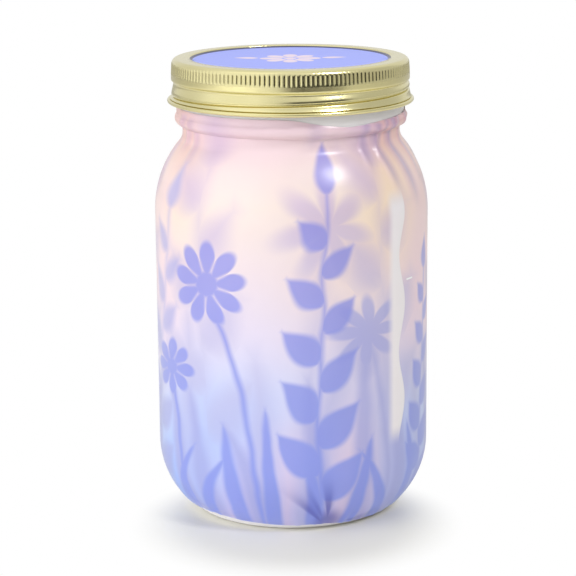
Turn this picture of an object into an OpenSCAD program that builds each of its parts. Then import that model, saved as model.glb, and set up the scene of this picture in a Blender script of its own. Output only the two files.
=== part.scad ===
// Hydroponic jar planter: a wide-mouth glass jar in a printed film sleeve, closed by a flat lid
// and a screw band, with a slotted net pot, a felt wick and the growing kit inside.
// Millimetres. The origin is the centre of the foot, +Z is up, and -Y is the front.

/* [Jar] */
// Height of the glass jar from the floor to its lip
jar_h = 164; // [150:1:180]
// Outer diameter of the glass body
body_d = 98.7; // [95:0.1:106]
// Thickness of the glass wall
glass_t = 3.2; // [2.6:0.1:4]
// Radius of the long curve at the heel
heel_r = 30.5; // [24:0.5:34]
// Diameter of the ring that the jar stands on
foot_d = 70.5; // [62:0.5:78]
// Rounding between that ring and the heel
foot_r = 3; // [2:0.5:5]
// Width of the flat on the standing ring
ring_w = 1.6; // [1:0.1:3]
// Height of the hollow under the floor
punt_h = 2.2; // [1:0.1:3]
// Thickness of the glass floor
floor_t = 5; // [4:0.5:8]
// Radius of the shoulder curve
shoulder_r = 38; // [32:1:42]
// How far the neck lies inside the finish
neck_in = 2.15; // [1:0.05:4]
// Radius of the hollow curve from shoulder to neck
neck_r = 6; // [4:0.5:8]
// Depth of the neck below the lip
neck_drop = 24.4; // [23:0.1:28]

/* [Finish] */
// Outer diameter of the glass that the thread runs on
finish_d = 82; // [80:0.1:85]
// Thickness of the glass at the finish
finish_t = 3; // [2.6:0.1:4.5]
// How far the transfer bead stands out from the finish
bead_out = 0.6; // [0.2:0.1:1]
// Radius of the bead's section
bead_r = 2; // [1.5:0.1:2.5]
// Depth of the bead below the lip
bead_drop = 19.3; // [18:0.1:20]
// Outer rounding of the lip
lip_r = 1.2; // [0.5:0.1:1.4]
// Inner rounding of the lip
lip_in_r = 0.9; // [0.5:0.1:1.2]

/* [Film sleeve] */
// Thickness of the shrink film
film_t = 0.25; // [0.15:0.05:0.5]
// Clearance between film and glass
film_gap = 0.1; // [0.05:0.05:0.3]
// Height of the film's lower edge
film_low = 1.5; // [1:0.1:4]
// Gap between the film's upper edge and the band
film_drop = 1.2; // [0.8:0.1:3]
// How far the upper edge dips at the right front
film_dip = 3.4; // [1:0.1:5]
// Bearing of that dip, turned from +X towards +Y
film_dip_a = -52; // [-80:1:-20]

/* [Lid] */
// Thickness of the lid's tinplate
lid_t = 0.3; // [0.2:0.05:0.5]
// Depth of the panel below the lid's rim
panel_drop = 0.5; // [0.3:0.05:0.7]
// Width of the step from panel to rim
step_w = 0.6; // [0.3:0.1:1]
// Straight part of the turned-down edge, below its corner
edge_h = 0.3; // [0.1:0.1:0.8]
// Thickness of the seal ring
seal_t = 0.9; // [0.6:0.1:1.5]
// Margin of the seal ring inside the lid's corner and outside the mouth
seal_in = 0.3; // [0.1:0.1:0.6]
// Thickness of the round label
label_t = 0.15; // [0.1:0.05:0.3]
// Clearance round the label
label_gap = 0.3; // [0.1:0.1:0.6]

/* [Band] */
// Thickness of the band's metal
band_t = 0.3; // [0.2:0.05:0.5]
// Height of the band
band_h = 15.8; // [14:0.1:17]
// Room for the screw thread between the glass and the band
thread_room = 1.7; // [1.5:0.1:2.5]
// Clearance of the lid inside the band
lid_gap = 0.5; // [0.3:0.1:0.8]
// Width of the band's top, from its opening to the wall
top_w = 6.9; // [5:0.1:9]
// Rounding between the top and the wall
top_r = 2; // [1.5:0.1:2.3]
// Depth of the rolled groove's upper edge below the top
groove_drop = 7.8; // [6:0.1:8.2]
// Height of the rolled groove
groove_h = 3.6; // [3:0.1:4]
// Depth of the rolled groove
groove_in = 0.65; // [0.3:0.05:0.8]
// Depth of the sharp step under the groove
step_in = 0.5; // [0.1:0.05:0.6]
// How far the curl stands out from the wall
curl_out = 1.5; // [1:0.1:2]
// Radius of the curl along the lower edge
curl_r = 0.8; // [0.7:0.05:1.1]

/* [Net pot] */
// Thickness of the pot's sheet steel
pot_t = 0.5; // [0.3:0.1:0.8]
// Depth of the pot below the lip
pot_depth = 55; // [45:1:65]
// Clearance of the pot in the mouth
pot_gap = 0.7; // [0.4:0.1:1.5]
// Clearance of the pot in the neck
neck_gap = 1.2; // [0.8:0.1:3]
// Margin of the pot's flange inside the lip
flange_in = 0.5; // [0.3:0.1:1]
// Rounding under the flange
bend_r = 0.8; // [0.6:0.1:1.2]
// Rounding between wall and floor
corner_r = 4; // [2:0.5:6]
// Slots in each row of the wall
slot_count = 20; // [12:2:26]
// Rows of slots
slot_rows = 2; // [1:1:2]
// Width of a slot
slot_w = 3; // [2:0.1:3.6]
// Height of a slot
slot_h = 17; // [8:0.5:18]
// Depth of the first row's centre below the lip
slot_drop = 18; // [16:0.5:19]
// Distance from row to row
slot_pitch = 20.5; // [19:0.5:21.5]
// Slots in the floor
floor_slots = 10; // [6:2:12]
// Length of a floor slot
floor_slot_l = 12; // [6:0.5:13]
// Margin between the floor slots and the curve to the wall
floor_edge = 3.3; // [1:0.1:4]

/* [Wick] */
// Width of the felt strip
wick_w = 15; // [8:0.5:18]
// Thickness of one layer of felt
wick_t = 1; // [0.8:0.1:1.2]
// Height of the wick's fold above the glass floor
wick_low = 5; // [3:0.5:12]
// Reach of each end over the pot's floor
wick_reach = 18; // [12:0.5:22]
// Clearance of the wick in its slot
wick_gap = 0.3; // [0.2:0.1:0.6]

/* [Growing kit] */
// Clearance of the coir disc from the pot's wall
coir_gap = 4.4; // [3:0.1:8]
// Height of the coir disc
coir_h = 14; // [10:0.5:16]
// Bevel of the coir disc
coir_bevel = 1.5; // [0.5:0.1:2.5]
// Diameter of the seed dimple in the coir disc
dimple_d = 9; // [5:0.5:12]
// Depth of that dimple
dimple_h = 3; // [1:0.5:4]
// Clearance of the corners of the sachets and papers from the pot's wall
kit_gap = 3.4; // [2:0.1:6]
// Width of a sachet
sachet_w = 32; // [24:0.5:34]
// Height of the carbon sachet
carbon_h = 8; // [5:0.5:8]
// Height of the plant food sachet
food_h = 7; // [4:0.5:7]
// Length of each crimped end
crimp_l = 4; // [2:0.5:5]
// Thickness of the crimped ends
crimp_t = 0.6; // [0.4:0.1:1]
// Width of the seed packet and the leaflet
paper_w = 34; // [28:0.5:36]
// Thickness of the seed packet
packet_t = 1.6; // [1:0.1:2.5]
// Depth of the seed packet's closing flap
flap_w = 10; // [6:0.5:14]
// Thickness of that flap
flap_t = 0.3; // [0.2:0.1:0.5]
// Thickness of the leaflet's paper
leaf_t = 0.25; // [0.15:0.05:0.3]
// Gap between the leaflet's folded panels
leaf_gap = 0.25; // [0.2:0.05:0.5]
// Panels of the folded leaflet
leaf_panels = 4; // [2:2:6]

/* [Hidden] */
$fn = 96;
// Steps along a long curve, and along a small rounding
long_steps = 14;
short_steps = 5;
// What a cut runs past the face that it leaves
over = 1;

// The jar's own radii and heights
body_rad = body_d / 2;
finish_rad = finish_d / 2;
neck_rad = finish_rad - neck_in;
mouth_rad = finish_rad - finish_t;
foot_rad = foot_d / 2;
bore_rad = neck_rad - glass_t;
neck_z = jar_h - neck_drop;
bead_z = jar_h - bead_drop;
floor_z = punt_h + floor_t;
// Rounding inside, between the floor and the heel
floor_r = 8;
// Slope of the bead's lower flank
flank_a = 60;

// Each curve's centre follows from the curves that it runs into
foot_c = [foot_rad, foot_r];
heel_x = body_rad - heel_r;
heel_z = foot_r + sqrt(pow(heel_r - foot_r, 2) - pow(foot_rad - heel_x, 2));
heel_c = [heel_x, heel_z];
foot_a = atan2(foot_r - heel_z, foot_rad - heel_x);
neck_c = [neck_rad + neck_r, neck_z];
shoulder_x = body_rad - shoulder_r;
shoulder_rise = sqrt(pow(shoulder_r + neck_r, 2) - pow(neck_c.x - shoulder_x, 2));
shoulder_c = [shoulder_x, neck_z - shoulder_rise];
shoulder_a = atan2(shoulder_rise, neck_c.x - shoulder_x);
bead_c = [finish_rad + bead_out - bead_r, bead_z];
inner_r = heel_r - glass_t;
floor_x = heel_x + sqrt(pow(inner_r - floor_r, 2) - pow(heel_z - floor_z - floor_r, 2));
floor_c = [floor_x, floor_z + floor_r];
floor_a = atan2(floor_c.y - heel_z, floor_x - heel_x);

// Heights of the pieces stacked on the lip
seal_z = jar_h + pot_t;
rim_z = seal_z + seal_t + lid_t;
band_top = rim_z + band_t;
band_low = band_top - band_h;
panel_z = rim_z - panel_drop;

// The band and the lid take their radii from the glass finish
band_rad = finish_rad + thread_room + band_t;
open_rad = band_rad - top_w;
lid_rad = finish_rad + thread_room - lid_gap;
// The lid's corner follows the inside of the band's corner
edge_r = top_r - band_t;
// Clearance between the panel's step and the band's opening
step_gap = 0.2;
panel_rad = open_rad - step_w - step_gap;
groove_z = band_top - groove_drop;
step_z = groove_z - groove_h;
// Height of the sharp step under the groove
step_h = 0.4;
curl_z = band_low + curl_r;
curl_c = [band_rad + curl_out - curl_r, curl_z];
// How far the curl is closed
curl_a = 170;
film_top = band_low - film_drop;

// The net pot tapers from the mouth past the neck
pot_rad = mouth_rad - pot_gap;
pot_neck_rad = min(bore_rad, mouth_rad) - neck_gap;
taper = (pot_rad - pot_neck_rad) / neck_drop;
taper_a = atan(taper);
pot_low = jar_h - pot_depth;
pot_floor = pot_low + pot_t;
corner_x = pot_rad - taper * (pot_depth - corner_r + corner_r * sin(taper_a)) - corner_r * cos(taper_a);

// The pot's inner radius at height z
function pot_bore(z) = pot_rad - pot_t - taper * (jar_h - z);

// The kit lies in the pot as a stack, and its pieces reach as far as the pot's wall allows
coir_z = pot_floor + wick_t;
coir_rad = pot_bore(pot_low) - coir_gap;
carbon_z = coir_z + coir_h;
food_z = carbon_z + carbon_h;
sachet_l = reach_l(carbon_z, sachet_w) - 2 * crimp_l;
packet_z = food_z + food_h;
paper_l = reach_l(packet_z, paper_w);
leaf_z = packet_z + packet_t + flap_t;

// The length of a piece w wide whose corners keep their clearance from the wall at height z
function reach_l(z, w) = 2 * sqrt(pow(pot_bore(z) - kit_gap, 2) - pow(w / 2, 2));

// Points along an arc about c, from angle a to angle b
function arc(c, r, a, b, steps) =
    [for (i = [0:steps]) c + r * [cos(a + (b - a) * i / steps), sin(a + (b - a) * i / steps)]];

function unit(v) = v / norm(v);
function right(v) = [v.y, -v.x];
function reverse(p) = [for (i = [len(p) - 1:-1:0]) p[i]];

// The offset direction at point i of a path: square to both of its neighbours
function mitre(p, i) =
    let (
        a = i > 0 ? unit(p[i] - p[i - 1]) : unit(p[1] - p[0]),
        b = i < len(p) - 1 ? unit(p[i + 1] - p[i]) : a,
        n = unit(right(a) + right(b))
    )
    n / (n * right(b));

// The outline of a sheet of thickness t that lies on the right of a path
function sheet(p, t) = concat(p, reverse([for (i = [0:len(p) - 1]) p[i] + t * mitre(p, i)]));

// The jar's side from the heel at angle a up to height top, moved out by o
function jar_side(o, a, top) = concat(
    arc(heel_c, heel_r + o, a, 0, long_steps),
    arc(shoulder_c, shoulder_r + o, 0, shoulder_a, long_steps),
    arc(neck_c, neck_r - o, 180 + shoulder_a, 180, short_steps),
    [[neck_rad + o, flank_low(o)]],
    arc(bead_c, bead_r + o, -flank_a, acos(1 - bead_out / bead_r), 2 * short_steps),
    [[finish_rad + o, top]]
);

// Where the bead's lower flank runs into the neck
function flank_low(o) =
    bead_z - (bead_r + o) * sin(flank_a)
    - (bead_c.x + (bead_r + o) * cos(flank_a) - neck_rad - o) / tan(flank_a);

// The sheet that lies in this outline is turned about the axis
module spun(points) {
    rotate_extrude()
        polygon(points);
}

// A round-ended slot, l long on X and w wide, cut along Z
module slot(l, w, depth) {
    linear_extrude(depth, center = true) {
        square([l - w, w], center = true);
        for (side = [-1, 1])
            translate([side * (l - w) / 2, 0])
                circle(d = w);
    }
}

// The glass jar: standing ring, heel, shoulder, neck, bead and finish, hollow inside
module glass_jar() {
    foot = concat(
        [[0, punt_h], [foot_rad - ring_w - 2 * punt_h, punt_h], [foot_rad - ring_w, 0]],
        arc(foot_c, foot_r, -90, foot_a, short_steps)
    );
    lip = concat(
        arc([finish_rad - lip_r, jar_h - lip_r], lip_r, 0, 90, short_steps),
        arc([mouth_rad + lip_in_r, jar_h - lip_in_r], lip_in_r, 90, 180, short_steps)
    );
    inside = concat(
        [[mouth_rad, bead_z], [bore_rad, neck_z]],
        arc(neck_c, neck_r + glass_t, 180, 180 + shoulder_a, short_steps),
        arc(shoulder_c, shoulder_r - glass_t, shoulder_a, 0, long_steps),
        arc(heel_c, inner_r, 0, floor_a, long_steps),
        arc(floor_c, floor_r, floor_a, -90, short_steps),
        [[0, floor_z]]
    );
    color([0.86, 0.90, 0.92, 0.5])
        spun(concat(foot, jar_side(0, foot_a, jar_h - lip_r), lip, inside));
}

// The shrink film: it follows the glass, and its upper edge dips at the right front
module film_sleeve() {
    a = -asin((heel_z - film_low) / heel_r);
    outer = jar_side(film_gap + film_t, a, film_top);
    color([0.80, 0.76, 0.92, 0.9])
        difference() {
            spun(concat(outer, reverse(jar_side(film_gap, a, film_top))));
            rotate([0, 0, film_dip_a])
                translate([0, 0, film_top - film_dip / 2])
                    rotate([0, atan(film_dip / finish_d), 0])
                        translate([-body_d, -body_d, 0])
                            cube([2 * body_d, 2 * body_d, band_h]);
        }
}

// The screw band: flat top, wall, rolled groove, sharp step, flared skirt and curled edge
module screw_band() {
    skirt_z = step_z - step_h;
    skirt_rad = band_rad - step_in;
    skirt_out = curl_c.x + curl_r - skirt_rad;
    path = concat(
        [[open_rad, band_top]],
        arc([band_rad - top_r, band_top - top_r], top_r, 90, 0, short_steps),
        [for (i = [0:long_steps])
            [band_rad - groove_in * (1 - cos(360 * i / long_steps)) / 2,
             groove_z - groove_h * i / long_steps]],
        [for (i = [0:short_steps])
            [skirt_rad + skirt_out * sin(90 * i / short_steps),
             curl_z + (skirt_z - curl_z) * cos(90 * i / short_steps)]],
        [for (i = [1:2 * short_steps]) curl_c + curl_r * [cos(curl_a * i / 2 / short_steps),
            -sin(curl_a * i / 2 / short_steps)]]
    );
    color([0.80, 0.74, 0.56])
        spun(sheet(path, band_t));
}

// The flat lid: a round panel, a step up to the rim and a turned-down edge
module lid_disc() {
    path = concat(
        [[0, panel_z], [panel_rad, panel_z], [panel_rad + step_w, rim_z]],
        arc([lid_rad - edge_r, rim_z - edge_r], edge_r, 90, 0, short_steps),
        [[lid_rad, rim_z - edge_r - edge_h]]
    );
    color([0.95, 0.95, 0.96])
        spun(sheet(path, lid_t));
}

// The seal ring, between the lid's rim and the pot's flange
module lid_seal() {
    color([0.85, 0.30, 0.22])
        translate([0, 0, seal_z])
            difference() {
                cylinder(h = seal_t, r = lid_rad - edge_r - seal_in);
                translate([0, 0, -over])
                    cylinder(h = seal_t + 2 * over, r = mouth_rad + seal_in);
            }
}

// The round label on the lid's panel
module lid_label() {
    color([0.64, 0.68, 0.98])
        translate([0, 0, panel_z])
            cylinder(h = label_t, r = panel_rad - label_gap);
}

// The net pot's sheet steel, before its slots are punched
module pot_shell() {
    path = concat(
        [[finish_rad - flange_in, jar_h]],
        arc([pot_rad + bend_r, jar_h - bend_r], bend_r, 90, 180 - taper_a, short_steps),
        arc([corner_x, pot_low + corner_r], corner_r, -taper_a, -90, short_steps),
        [[0, pot_low]]
    );
    spun(sheet(path, pot_t));
}

// The net pot: a tapered basket with staggered rows of slots, floor slots and the wick's slot
module net_pot() {
    depth = 12 * pot_t;
    color([0.78, 0.79, 0.80])
        difference() {
            pot_shell();
            for (row = [0:slot_rows - 1])
                for (i = [0:slot_count - 1])
                    rotate([0, 0, 360 * (i + row % 2 / 2) / slot_count])
                        translate([
                            pot_rad - taper * (slot_drop + row * slot_pitch),
                            0,
                            jar_h - slot_drop - row * slot_pitch
                        ])
                            rotate([0, 90, 0])
                                slot(slot_h, slot_w, depth);
            for (i = [0:floor_slots - 1])
                rotate([0, 0, 360 * (i + 0.5) / floor_slots])
                    translate([corner_x - floor_edge - floor_slot_l / 2, 0, pot_low])
                        slot(floor_slot_l, slot_w, depth);
            translate([0, 0, pot_low])
                cube([wick_w + 2 * wick_gap, 2 * (wick_t + wick_gap), depth], center = true);
        }
}

// The wick: a felt strip folded in two, with its ends spread over the pot's floor
module wick() {
    low = floor_z + wick_low + wick_t;
    profile = concat(
        [[-wick_t, pot_floor], [-wick_reach, pot_floor], [-wick_reach, pot_floor + wick_t]],
        [[wick_reach, pot_floor + wick_t], [wick_reach, pot_floor], [wick_t, pot_floor]],
        arc([0, low], wick_t, 0, -180, 2 * short_steps)
    );
    color([0.93, 0.92, 0.88])
        rotate([90, 0, 90])
            linear_extrude(wick_w, center = true)
                polygon(profile);
}

// The compressed coir disc that the seeds go into, with a dimple on top
module coir_disc() {
    // Radius of the sphere that leaves a dimple of this width and depth
    ball_r = (pow(dimple_d / 2, 2) + pow(dimple_h, 2)) / (2 * dimple_h);
    dimple_a = asin(dimple_d / 2 / ball_r);
    color([0.42, 0.29, 0.18])
        translate([0, 0, coir_z])
            spun(concat(
                [[0, 0], [coir_rad - coir_bevel, 0], [coir_rad, coir_bevel]],
                [[coir_rad, coir_h - coir_bevel], [coir_rad - coir_bevel, coir_h]],
                arc([0, coir_h - dimple_h + ball_r], ball_r, dimple_a - 90, -90, short_steps)
            ));
}

// Half a lens, w wide and h high, whose flat side is drawn along l
module vault(l, w, h) {
    lens_r = (pow(w / 2, 2) + pow(h, 2)) / (2 * h);
    lens_a = asin(w / 2 / lens_r);
    rotate([90, 0, 90])
        linear_extrude(l, center = true)
            polygon(arc([0, h - lens_r], lens_r, 90 - lens_a, 90 + lens_a, long_steps));
}

// A filled sachet that lies flat: its top is crowned both ways, and its ends are crimped
module sachet(h) {
    intersection() {
        vault(sachet_l, sachet_w, h);
        rotate([0, 0, 90])
            vault(sachet_w, sachet_l, h);
    }
    translate([-sachet_l / 2 - crimp_l, -sachet_w / 2, 0])
        cube([sachet_l + 2 * crimp_l, sachet_w, crimp_t]);
}

// The sachet of activated carbon
module carbon_sachet() {
    color([0.90, 0.90, 0.88])
        translate([0, 0, carbon_z])
            sachet(carbon_h);
}

// The sachet of plant food
module plant_food_sachet() {
    color([0.83, 0.88, 0.80])
        translate([0, 0, food_z])
            sachet(food_h);
}

// The seed packet, with its closing flap folded over the top face
module seed_packet() {
    color([0.88, 0.84, 0.94])
        translate([-paper_l / 2, -paper_w / 2, packet_z]) {
            cube([paper_l, paper_w, packet_t]);
            translate([0, paper_w - flap_w, packet_t])
                cube([paper_l, flap_w, flap_t]);
        }
}

// The leaflet: one sheet folded to and fro, with a fold at each end in turn
module leaflet() {
    pitch = leaf_t + leaf_gap;
    color([0.95, 0.94, 0.92])
        translate([0, 0, leaf_z])
            rotate([90, 0, 90])
                linear_extrude(paper_l, center = true) {
                    for (i = [0:leaf_panels - 1])
                        translate([-paper_w / 2, i * pitch])
                            square([paper_w, leaf_t]);
                    for (i = [0:leaf_panels - 2])
                        translate([i % 2 == 0 ? paper_w / 2 - leaf_t : -paper_w / 2, i * pitch])
                            square([leaf_t, pitch + leaf_t]);
                }
}

glass_jar();
film_sleeve();
screw_band();
lid_disc();
lid_seal();
lid_label();
net_pot();
wick();
coir_disc();
carbon_sachet();
plant_food_sachet();
seed_packet();
leaflet();
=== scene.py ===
"""Looks of a hydroponic jar planter: a wide-mouth glass jar in a printed film sleeve, under a flat
lid and a gold screw band, with a slotted net pot, a felt wick and the growing kit inside.

Sizes are in millimetres until a mesh is made, and in metres after that. A bearing is measured
round the jar's axis from the front of the print, in degrees, and grows towards the front's right.
"""
import math
from functools import partialmethod

import bmesh
import bpy
import numpy as np
from mathutils import Matrix, Vector, noise


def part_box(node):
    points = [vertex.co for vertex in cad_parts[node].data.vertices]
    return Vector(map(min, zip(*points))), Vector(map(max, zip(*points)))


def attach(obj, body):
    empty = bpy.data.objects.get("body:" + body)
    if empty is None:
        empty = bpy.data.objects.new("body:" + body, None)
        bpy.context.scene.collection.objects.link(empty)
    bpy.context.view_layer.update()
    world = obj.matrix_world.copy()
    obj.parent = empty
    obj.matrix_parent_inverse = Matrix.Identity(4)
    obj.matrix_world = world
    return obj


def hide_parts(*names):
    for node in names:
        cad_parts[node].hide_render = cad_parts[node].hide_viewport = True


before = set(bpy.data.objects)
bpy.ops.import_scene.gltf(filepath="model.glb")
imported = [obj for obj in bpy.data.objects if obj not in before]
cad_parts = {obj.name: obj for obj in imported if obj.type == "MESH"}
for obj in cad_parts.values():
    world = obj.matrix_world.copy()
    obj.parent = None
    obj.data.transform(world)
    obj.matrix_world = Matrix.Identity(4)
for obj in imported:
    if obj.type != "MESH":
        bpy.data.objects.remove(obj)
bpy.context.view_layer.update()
MM = 0.001


def box_mm(node):
    """Lowest and highest corners of a CAD node, in millimetres."""
    low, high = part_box(node)
    return low / MM, high / MM


# Heights that follow the CAD solids
JAR_H = box_mm("glass_jar")[1].z
BAND_LOW, BAND_TOP = (corner.z for corner in box_mm("screw_band"))
LID_LOW, LID_TOP = (corner.z for corner in box_mm("lid_disc"))
COIR_LOW, COIR_TOP = (corner.z for corner in box_mm("coir_disc"))

# The jar
BODY_R = 49.35
GLASS_T = 3.2
HEEL_R = 30.5
FOOT_R = 35.25
FOOT_ROUND = 3.0
RING_W = 1.6
PUNT_H = 2.2
FLOOR_Z = 7.2
FLOOR_ROUND = 8.0
SHOULDER_R = 38.0
FINISH_R = 41.0
MOUTH_R = 38.0
NECK_RAD = 38.85
NECK_ROUND = 6.0
NECK_Z = JAR_H - 24.4
BEAD_Z = JAR_H - 19.3
BEAD_ROUND = 2.0
BEAD_OUT = 0.6
FLANK = 60.0
LIP_OUT = 1.2
LIP_IN = 0.9
# Centres of the jar's curves as (radius, height), and the angles where the curves meet
HEEL_X = BODY_R - HEEL_R
HEEL_Z = FOOT_ROUND + math.sqrt((HEEL_R - FOOT_ROUND) ** 2 - (FOOT_R - HEEL_X) ** 2)
HEEL = (HEEL_X, HEEL_Z)
FOOT_ANGLE = math.degrees(math.atan2(FOOT_ROUND - HEEL_Z, FOOT_R - HEEL_X))
NECK = (NECK_RAD + NECK_ROUND, NECK_Z)
SHOULDER_X = BODY_R - SHOULDER_R
SHOULDER_RISE = math.sqrt((SHOULDER_R + NECK_ROUND) ** 2 - (NECK[0] - SHOULDER_X) ** 2)
SHOULDER = (SHOULDER_X, NECK_Z - SHOULDER_RISE)
SHOULDER_ANGLE = math.degrees(math.atan2(SHOULDER_RISE, NECK[0] - SHOULDER_X))
BEAD = (FINISH_R + BEAD_OUT - BEAD_ROUND, BEAD_Z)
# The screw thread: one turn of it rises by the lead
LEAD = 5.08
CREST = 0.9
# The film and the gap behind it
FILM_T = 0.25
FILM_GAP = 0.1
FILM_LOW = 1.5


def arc(centre, radius, start, end, steps):
    """Points of an arc as (radius, height) rows; the angles are in degrees."""
    angles = np.radians(np.linspace(start, end, steps + 1))
    return np.column_stack([centre[0] + radius * np.cos(angles), centre[1] + radius * np.sin(angles)])


def path(*parts):
    """One path from arcs and single points."""
    return np.vstack([np.atleast_2d(np.asarray(part, float)) for part in parts])


def finer(points, step):
    """The same path with its points at most step apart."""
    rows = [points[0]]
    for a, b in zip(points[:-1], points[1:]):
        count = max(1, math.ceil(np.linalg.norm(b - a) / step))
        rows += [a + (b - a) * i / count for i in range(1, count + 1)]
    return np.array(rows)


def distinct(points):
    """The same path without points that repeat."""
    apart = np.linalg.norm(np.diff(points, axis=0), axis=1) > 1e-6
    return points[np.r_[True, apart]]


def shifted(points, distance):
    """The path moved by a distance to its right, with mitred corners."""
    steps = np.diff(points, axis=0)
    steps /= np.linalg.norm(steps, axis=1)[:, None]
    sides = np.column_stack([steps[:, 1], -steps[:, 0]])
    before = np.vstack([sides[:1], sides])
    after = np.vstack([sides, sides[-1:]])
    middle = before + after
    middle /= np.linalg.norm(middle, axis=1)[:, None]
    return points + distance * middle / np.sum(middle * after, axis=1)[:, None]


def ease(value, low, high):
    """0 below low, 1 above high, and smooth between them."""
    t = np.clip((value - low) / (high - low), 0, 1)
    return t * t * (3 - 2 * t)


def new_object(name, verts, faces):
    """A mesh object from points in millimetres, with its faces turned outwards."""
    verts = np.asarray(verts, float) * MM
    mesh = bpy.data.meshes.new(name)
    mesh.from_pydata(verts.tolist(), [], [list(face) for face in faces])
    mesh.calc_loop_triangles()
    tris = np.empty(len(mesh.loop_triangles) * 3, np.int32)
    mesh.loop_triangles.foreach_get("vertices", tris)
    a, b, c = (verts[tris.reshape(-1, 3)[:, i]] for i in range(3))
    if np.sum(a * np.cross(b, c)) < 0:
        mesh.flip_normals()
    obj = bpy.data.objects.new(name, mesh)
    bpy.context.scene.collection.objects.link(obj)
    return obj


def grid_faces(rows, columns, wrap_rows, wrap_columns):
    """Quads between the points of a grid."""
    i = np.arange(rows if wrap_rows else rows - 1)
    j = np.arange(columns if wrap_columns else columns - 1)
    a, b = (grid.ravel() for grid in np.meshgrid(i, j, indexing="ij"))
    up, on = (a + 1) % rows, (b + 1) % columns
    corners = [a * columns + b, a * columns + on, up * columns + on, up * columns + b]
    return np.column_stack(corners).tolist()


def ring_points(radius, height, bearing):
    """Points of rings, from arrays of radius and height and the bearings of their columns."""
    turn = np.radians(bearing)
    return np.stack([radius * np.sin(turn), -radius * np.cos(turn), height], axis=-1)


def turned(name, outline, sides, warp=None):
    """A closed outline turned about the axis. warp moves its (radius, height) at each bearing.
    An outline that starts and ends on the axis gets one point at each end."""
    on_axis = outline[0, 0] == 0 and outline[-1, 0] == 0
    inner = outline[1:-1] if on_axis else outline
    bearing = np.linspace(-180, 180, sides, endpoint=False)
    radius = np.repeat(inner[:, :1], sides, axis=1)
    height = np.repeat(inner[:, 1:], sides, axis=1)
    if warp:
        radius, height = warp(radius, height, bearing[None, :])
    verts = ring_points(radius, height, bearing).reshape(-1, 3)
    faces = grid_faces(len(inner), sides, not on_axis, True)
    if on_axis:
        low, high = len(verts), len(verts) + 1
        verts = np.vstack([verts, [0, 0, outline[0, 1]], [0, 0, outline[-1, 1]]])
        last = (len(inner) - 1) * sides
        for j in range(sides):
            on = (j + 1) % sides
            faces.append((low, on, j))
            faces.append((high, last + j, last + on))
    return new_object(name, verts, faces)


def dress(obj, angle, body, slot, material, *nodes):
    """Smooths a piece but for edges sharper than an angle, gives it its material and names what it is part
    of; slot, the name of what it is made of, is not used.
    """
    obj.data.shade_smooth()
    obj.data.set_sharp_from_angle(angle=math.radians(angle))
    obj.data.materials.append(material)
    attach(obj, body)
    if nodes:
        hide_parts(*nodes)


# Materials

class Field:
    """A number that a material works out at each point; the usual signs add Math nodes."""

    def __init__(self, tree, socket):
        self.tree = tree
        self.socket = socket

    def op(self, kind, *others):
        node = add(self.tree, "ShaderNodeMath", dict(enumerate((self, *others))), operation=kind)
        return Field(self.tree, node.outputs[0])

    __add__ = partialmethod(op, "ADD")
    __sub__ = partialmethod(op, "SUBTRACT")
    __mul__ = partialmethod(op, "MULTIPLY")
    __truediv__ = partialmethod(op, "DIVIDE")
    __pow__ = partialmethod(op, "POWER")
    __abs__ = partialmethod(op, "ABSOLUTE")
    at_least = partialmethod(op, "MAXIMUM")
    at_most = partialmethod(op, "MINIMUM")

    def __rsub__(self, other):
        return (self * -1) + other

    def smooth(self, low, high):
        """0 below low, 1 above high, and smooth between them."""
        node = add(self.tree, "ShaderNodeMapRange", {"Value": self, "From Min": low, "From Max": high},
                   interpolation_type="SMOOTHSTEP")
        return Field(self.tree, node.outputs[0])


def put(tree, place, value):
    """Sets a socket to a number or colour, or links what a Field or another socket gives."""
    if isinstance(value, Field):
        value = value.socket
    if isinstance(value, bpy.types.NodeSocket):
        tree.links.new(value, place)
    else:
        place.default_value = value


def add(tree, kind, inputs=None, **settings):
    """A new node, with the values or links of its inputs and its other settings."""
    node = tree.nodes.new(kind)
    for name, value in settings.items():
        setattr(node, name, value)
    for name, value in (inputs or {}).items():
        put(tree, node.inputs[name], value)
    return node


def srgb(red, green, blue):
    """The linear colour of an sRGB colour written with numbers from 0 to 255."""
    parts = [part / 255 for part in (red, green, blue)]
    linear = [part / 12.92 if part <= 0.04045 else ((part + 0.055) / 1.055) ** 2.4 for part in parts]
    return linear + [1.0]


def material(name, **sockets):
    """A new Principled material, its node tree and its shader; sockets are the shader's values."""
    made = bpy.data.materials.new(name)
    made.use_nodes = True
    shader = made.node_tree.nodes["Principled BSDF"]
    for socket, value in sockets.items():
        put(made.node_tree, shader.inputs[socket.replace("_", " ")], value)
    return made, made.node_tree, shader


def place_mm(tree):
    """The point's own X, Y and Z in millimetres, as Fields."""
    split = add(tree, "ShaderNodeSeparateXYZ", {0: add(tree, "ShaderNodeTexCoord").outputs["Object"]})
    return [Field(tree, socket) / MM for socket in split.outputs]


def unrolled(tree, radius):
    """How far round the jar from the print's front, and how high, in millimetres."""
    x, y, z = place_mm(tree)
    return x.op("ARCTAN2", y * -1) * radius, z


def clouds(tree, scale, detail=2.0, stretch=(1, 1, 1)):
    """Noise from 0 to 1 in the object's own space; scale is in features to a metre."""
    own = add(tree, "ShaderNodeTexCoord").outputs["Object"]
    moved = add(tree, "ShaderNodeMapping", {"Vector": own, "Scale": stretch})
    cloud = add(tree, "ShaderNodeTexNoise", {"Vector": moved.outputs[0], "Scale": scale, "Detail": detail})
    return Field(tree, cloud.outputs["Fac"])


def ramp(tree, field, stops):
    """A colour ramp; stops are (place from 0 to 1, sRGB colour)."""
    node = add(tree, "ShaderNodeValToRGB", {"Fac": field})
    points = node.color_ramp.elements
    while len(points) < len(stops):
        points.new(0.5)
    for point, (at, colour) in zip(points, stops):
        point.position = at
        point.color = srgb(*colour)
    return node.outputs["Color"]


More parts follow.
